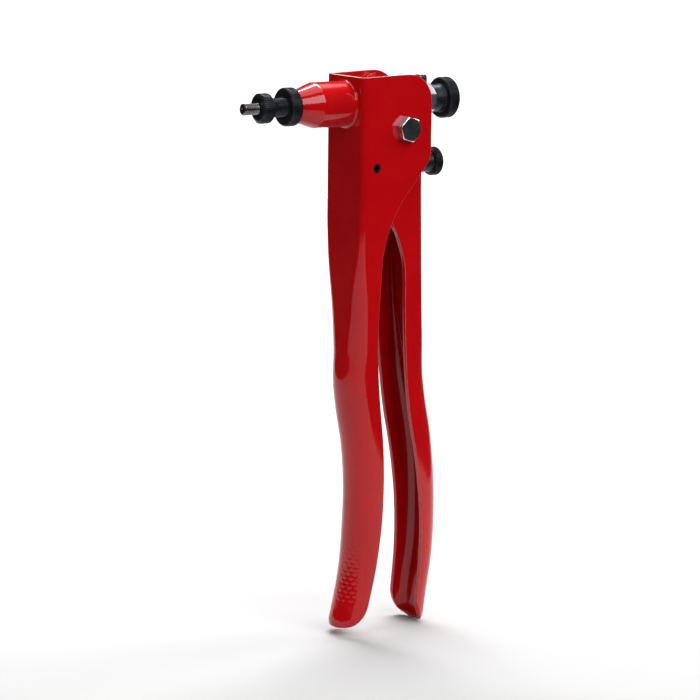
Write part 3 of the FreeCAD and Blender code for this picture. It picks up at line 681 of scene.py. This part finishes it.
movingHandleSize = {
    "sign": -1, "half": 14.0, "web": 97.8, "sheet": 2.5, "topFall": 0,
    "columns": (4, 46, 3), "endRows": 8, "endRound": 7.0, "endInset": 2.2, "endPinch": 3.8,
    "stations": [
        (-42, 0, 4, 0), (-52, 0, 4, 0.2), (-80, 0, 4, 1.0), (-106, 0.1, 4.6, 2.2), (-130, 0.7, 7.5, 5.1),
        (-148, 1.2, 10.5, 7.7), (-164, 1.4, 12.2, 11.2), (-183, 1.4, 12.2, 15.0), (-205, 1.4, 12.2, 17.6),
        (-228, 1.4, 12.2, 18.4), (-250, 1.4, 12.2, 17.4), (-271, 1.4, 12.2, 14.2), (-294, 1.4, 12.2, 10.8)],
    "edge": [
        ("line", [(76.9, 17), (76.9, 10.2)]),
        ("arc", [(76.9, 10.2), (74.31, 5.63), (73.03, 1.67)]),
        ("line", [(73.03, 1.67), (73.17, -2.49)]),
        ("line", [(73.17, -2.49), (74.6, -14)]),
        ("curve", [(74.6, -14), (73.4, -26), (72.6, -42), (73.6, -54), (77.2, -64)]),
        ("curve", [(77.2, -64), (81, -71.2), (85.6, -86), (86.7, -110), (88.5, -138), (92, -167), (97.5, -194),
                   (101.1, -221), (101.7, -248), (99.7, -275)]),
        ("arc", [(99.7, -275), (102.6, -284), (106.6, -289.2)])],
    "scaleRows": (-279, -196), "scaleHalf": 11.2, "scaleRise": 2.4, "scalePitch": 4.4, "scaleArc": 1.35,
    "scaleDepth": 0.09,
    # the ears: a crown of two arcs, the round cam that pushes the plate, and the hollow below it
    "crown": [[(76.6, 9.9), (80.9, 12.97), (86.5, 13.7)], [(86.5, 13.7), (91.4, 11.9), (93.5, 7.4)]],
    "camCentre": 84.91, "camRadius": 9.5, "camAngles": (8, -24), "hollow": [(89.5, -12.5), (91.3, -20.9), (98.5, -26)],
    "bushHole": (83.0, -13.2, 8.0), "screwHole": (98.0, -33.9, 5.0),
}


def makeMovingHandle():
    s = movingHandleSize
    thing = makeChannel(s)
    bevelRims(thing)
    first, second = s["crown"]
    high, low = s["camAngles"]
    outline = arcThrough(*first, 10) + arcThrough(*second, 10)[1:]
    for degrees in range(high, low - 1, -4):
        turn = math.radians(degrees)
        outline.append((s["camCentre"] + s["camRadius"] * math.cos(turn), s["camRadius"] * math.sin(turn)))
    outline += arcThrough(*s["hollow"], 12)
    outline += [(108, -26), (108, 20), (70, 20), (70, 9.9)]  # clear of the handle on all sides
    bpy.ops.mesh.primitive_circle_add(vertices=len(outline), radius=0.01, fill_type="NGON")
    cutter = bpy.context.object
    for vertex, (x, z) in zip(cutter.data.vertices, outline):
        vertex.co = (x * mm, -0.02, z * mm)
    cutter.matrix_world.identity()
    editMesh(
        cutter,
        lambda: bpy.ops.mesh.extrude_region_move(TRANSFORM_OT_translate={"value": (0, 0.04, 0)}),
        lambda: bpy.ops.mesh.select_all(action="SELECT"),
        lambda: bpy.ops.mesh.normals_make_consistent(inside=False))
    cutWith(thing, cutter)
    drill(thing, *s["bushHole"])
    drill(thing, *s["screwHole"], along="X", depth=20, vertices=48)
    return finishPiece(thing, "movingHandleChannel", "moving_handle", 35, True)


makeFixedHandle()
print("fixed handle ready")
makeMovingHandle()
print("moving handle ready")

# the nodes that no piece replaces keep their CAD mesh
for node, thing in nodes.items():
    if not thing.hide_render:
        finish = finishes[nodeSlot(node)]
        thing.data.materials.clear()
        thing.data.materials.append(finish)

# a paper sheet on the floor, curved up at the back; it is narrow so that the cheeks mirror the dark room (metres)
stageSize = {
    "floor": -0.2893, "turn": -36.3,
    "front": -0.85, "frontHalf": 0.5,
    "waist": 0.3, "waistRight": 0.41, "waistLeft": 0.62,
    "back": 2.6, "backHalf": 1.0, "curve": 0.5, "curveSteps": 8, "rise": 0.2,
}


def makeStage():
    s = stageSize
    bpy.ops.mesh.primitive_grid_add(x_subdivisions=1, y_subdivisions=2, size=2)
    sweep = bpy.context.object
    sweep.name = "paperSweep"
    turn = math.radians(s["turn"])
    right, away = Vector((math.cos(turn), math.sin(turn), 0)), Vector((-math.sin(turn), math.cos(turn), 0))
    for vertex in sweep.data.vertices:
        row = round(vertex.co.y)
        side = 1 if vertex.co.x > 0 else -1
        half = (s["waistRight"] if side > 0 else s["waistLeft"], s["backHalf"], s["frontHalf"])[row]
        reach = (s["waist"], s["back"], s["front"])[row]
        vertex.co = right * side * half + away * reach + Vector((0, 0, s["floor"]))
    material, tree, base = startMaterial("whitePaper", {"Roughness": 0.9, "Specular IOR Level": 0.2})
    ramp(tree, noiseOn(tree, 6, 3), [(0.3, (0.46, 0.46, 0.46)), (0.7, (0.48, 0.48, 0.48))], base.inputs["Base Color"])
    sweep.data.materials.append(material)
    activate(sweep)
    bpy.ops.object.mode_set(mode="EDIT")
    bpy.ops.mesh.select_mode(type="EDGE")
    bpy.ops.mesh.select_all(action="DESELECT")
    shape = bmesh.from_edit_mesh(sweep.data)
    far = max(shape.edges, key=lambda e: sum(away.dot(v.co) for v in e.verts))
    far.select_set(True)
    bmesh.update_edit_mesh(sweep.data)
    step = s["curve"] * math.pi / 2 / s["curveSteps"]
    for i in range(s["curveSteps"]):
        a = math.radians(90 * (i + 0.5) / s["curveSteps"])
        bpy.ops.mesh.extrude_region_move(TRANSFORM_OT_translate={
            "value": tuple(away * step * math.cos(a) + Vector((0, 0, step * math.sin(a))))})
    bpy.ops.mesh.extrude_region_move(TRANSFORM_OT_translate={"value": (0, 0, s["rise"])})
    bpy.ops.object.mode_set(mode="OBJECT")
    activate(sweep)
    bpy.ops.object.shade_smooth()


lamps = [
    {"name": "topBox", "place": (0.1, 0.3, 1.4), "aim": (0.06, 0, -0.1), "size": (1.9, 1.9), "power": 20},
    {"name": "leftStrip", "place": (-1.5, -0.5, 0.75), "aim": (0.06, 0, -0.1), "size": (0.1, 0.8), "power": 5},
    {"name": "frontBox", "place": (0.3, -2.3, 1.6), "aim": (0.06, 0, -0.12), "size": (2.6, 1.8), "power": 72},
    {"name": "rightBox", "place": (1.6, -0.2, 0.7), "aim": (0.06, 0, -0.1), "size": (0.5, 0.9), "power": 10},
    {"name": "backdropBox", "place": (0.7, 1.0, 1.9), "aim": (1.6, 2.2, 0.2), "size": (1.6, 1.0), "power": 200},
]


def makeLamps():
    for lamp in lamps:
        bpy.ops.object.light_add(type="AREA", location=lamp["place"])
        light = bpy.context.object
        light.name = lamp["name"]
        light.data.shape = "RECTANGLE"
        light.data.size, light.data.size_y = lamp["size"]
        light.data.energy = lamp["power"]
        light.rotation_euler = (Vector(lamp["aim"]) - Vector(lamp["place"])).to_track_quat("-Z", "Y").to_euler()


def makeWorld():
    world = bpy.data.worlds.new("studioAir")
    world.use_nodes = True
    back = world.node_tree.nodes["Background"]
    back.inputs["Color"].default_value = (0.95, 0.97, 1.0, 1)
    back.inputs["Strength"].default_value = 0.035
    bpy.context.scene.world = world


makeStage()
makeLamps()
makeWorld()
bpy.context.scene.view_settings.view_transform = "Standard"
print("studio ready")
